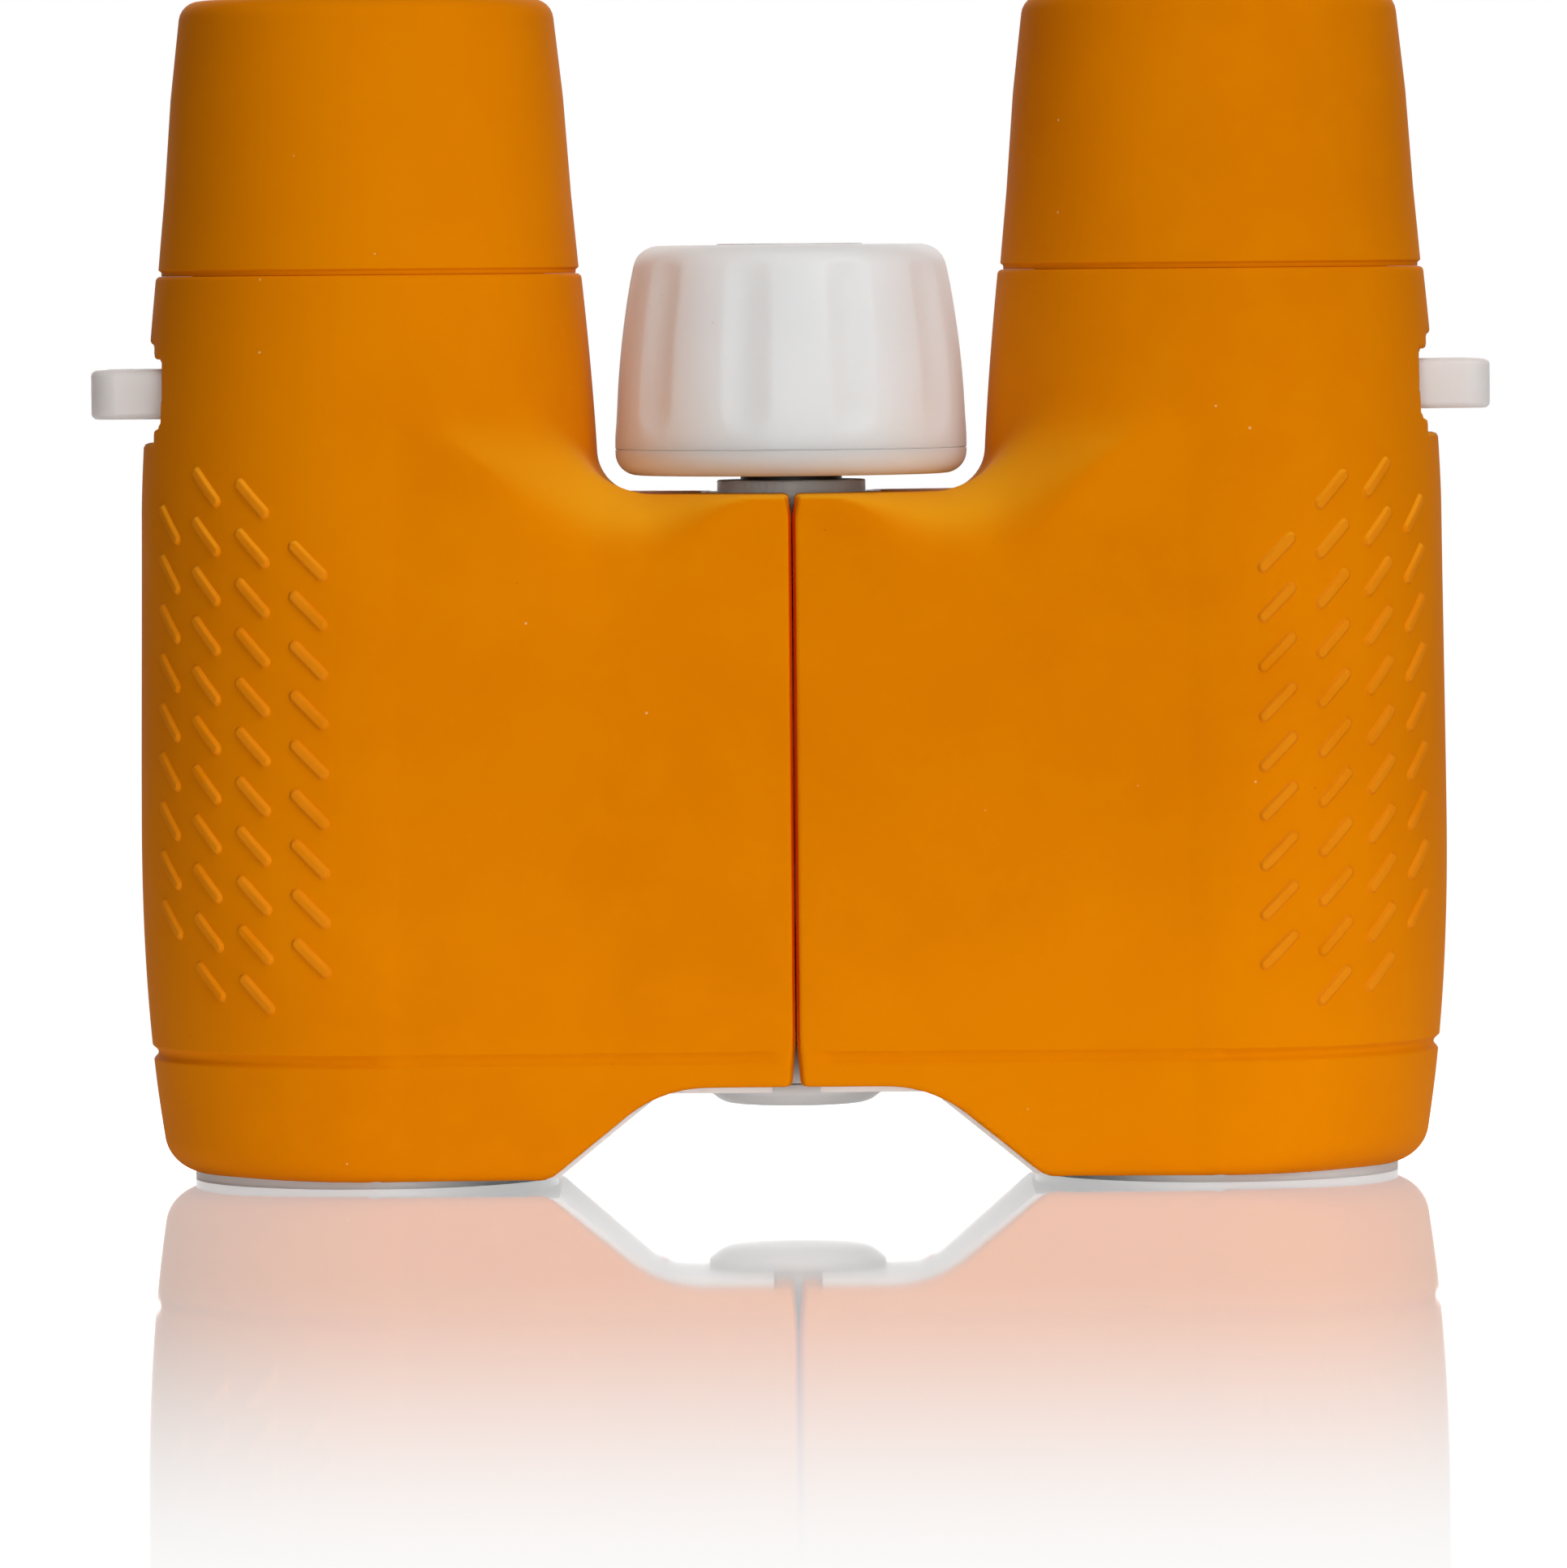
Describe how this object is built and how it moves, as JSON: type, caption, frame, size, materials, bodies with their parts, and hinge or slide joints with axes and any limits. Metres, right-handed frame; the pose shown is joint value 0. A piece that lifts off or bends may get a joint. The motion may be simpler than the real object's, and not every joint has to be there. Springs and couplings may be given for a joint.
{
  "type": "toy binoculars",
  "caption": "Child's compact roof-prism binoculars in rubber armour, with a folding centre hinge, a fluted focus wheel, soft eyecups and side strap lugs.",
  "frame": {"origin": "on the hinge axis, at the surface that the objective ends stand on", "axes": "+Z along the hinge axis from the objective ends to the eyecups, +X across to the right barrel, -Y the face with the seam, toward the viewer"},
  "size_m": [0.114, 0.037, 0.0951],
  "materials": {
    "orange_rubber": "matt, soft touch",
    "white_plastic": "satin",
    "black_plastic": "matt",
    "lens_glass": "coated",
    "prism_glass": "polished",
    "steel": "turned",
    "brass": "turned"
  },
  "bodies": {
    "left_half": {"left_chassis": "white_plastic", "left_armour": "orange_rubber", "left_strap_lug": "white_plastic", "left_objective_tube": "black_plastic", "left_objective_lens": "lens_glass", "left_objective_ring": "black_plastic", "left_prism_cage": "black_plastic", "left_lower_prism": "prism_glass", "left_roof_prism": "prism_glass", "left_prism_clip": "steel", "hinge_axle": "steel", "hinge_washers": "black_plastic", "hinge_end_cap": "white_plastic"},
    "right_half": {"right_chassis": "white_plastic", "right_armour": "orange_rubber", "right_strap_lug": "white_plastic", "right_objective_tube": "black_plastic", "right_objective_lens": "lens_glass", "right_objective_ring": "black_plastic", "right_prism_cage": "black_plastic", "right_lower_prism": "prism_glass", "right_roof_prism": "prism_glass", "right_prism_clip": "steel", "right_ocular_tube": "black_plastic", "right_field_lens": "lens_glass", "right_eye_lens": "lens_glass", "right_eye_lens_ring": "black_plastic", "right_eyecup_sleeve": "black_plastic", "right_eyecup": "orange_rubber"},
    "focus_wheel": {"focus_knob": "white_plastic", "knob_base": "white_plastic", "knob_collar": "black_plastic", "knob_screw": "steel", "knob_cap": "white_plastic", "focus_spindle": "steel", "spindle_clip": "steel"},
    "focus_slider": {"focus_nut": "brass", "focus_pins": "steel", "focus_spool": "black_plastic"},
    "left_focus": {"left_focus_cell": "black_plastic", "left_focus_lens": "lens_glass"},
    "right_focus": {"right_focus_cell": "black_plastic", "right_focus_lens": "lens_glass"},
    "diopter_ring": {"left_eyecup_sleeve": "black_plastic", "left_eyecup": "orange_rubber"},
    "left_ocular": {"left_ocular_tube": "black_plastic", "left_field_lens": "lens_glass", "left_eye_lens": "lens_glass", "left_eye_lens_ring": "black_plastic"}
  },
  "joints": [
    {"name": "ipd_hinge", "type": "hinge", "parent": "left_half", "child": "right_half", "pos_m": [0, 0, 0], "axis": [0, 0, 1], "range_deg": [0, 80]},
    {"name": "focus_turn", "type": "hinge", "parent": "left_half", "child": "focus_wheel", "pos_m": [0, 0, 0.06], "axis": [0, 0, 1], "range_deg": [-240, 240]},
    {"name": "focus_slide", "type": "slide", "parent": "left_half", "child": "focus_slider", "axis": [0, 0, 1], "range_m": [-0.0021, 0.0021]},
    {"name": "left_lens_slide", "type": "slide", "parent": "left_half", "child": "left_focus", "axis": [0, 0, 1], "range_m": [-0.0021, 0.0021]},
    {"name": "right_lens_slide", "type": "slide", "parent": "right_half", "child": "right_focus", "axis": [0, 0, 1], "range_m": [-0.0021, 0.0021]},
    {"name": "diopter_turn", "type": "hinge", "parent": "left_half", "child": "diopter_ring", "pos_m": [-0.034, 0, 0.08], "axis": [0, 0, 1], "range_deg": [-35, 35]},
    {"name": "ocular_slide", "type": "slide", "parent": "left_half", "child": "left_ocular", "axis": [0, 0, 1], "range_m": [-0.00105, 0.00105]}
  ],
  "couplings": [
    {"joint": "focus_slide", "follows": "focus_turn", "m_per_rad": 0.00047746},
    {"joint": "left_lens_slide", "follows": "focus_turn", "m_per_rad": 0.00047746},
    {"joint": "right_lens_slide", "follows": "focus_turn", "m_per_rad": 0.00047746},
    {"joint": "ocular_slide", "follows": "diopter_turn", "m_per_rad": 0.001637}
  ]
}
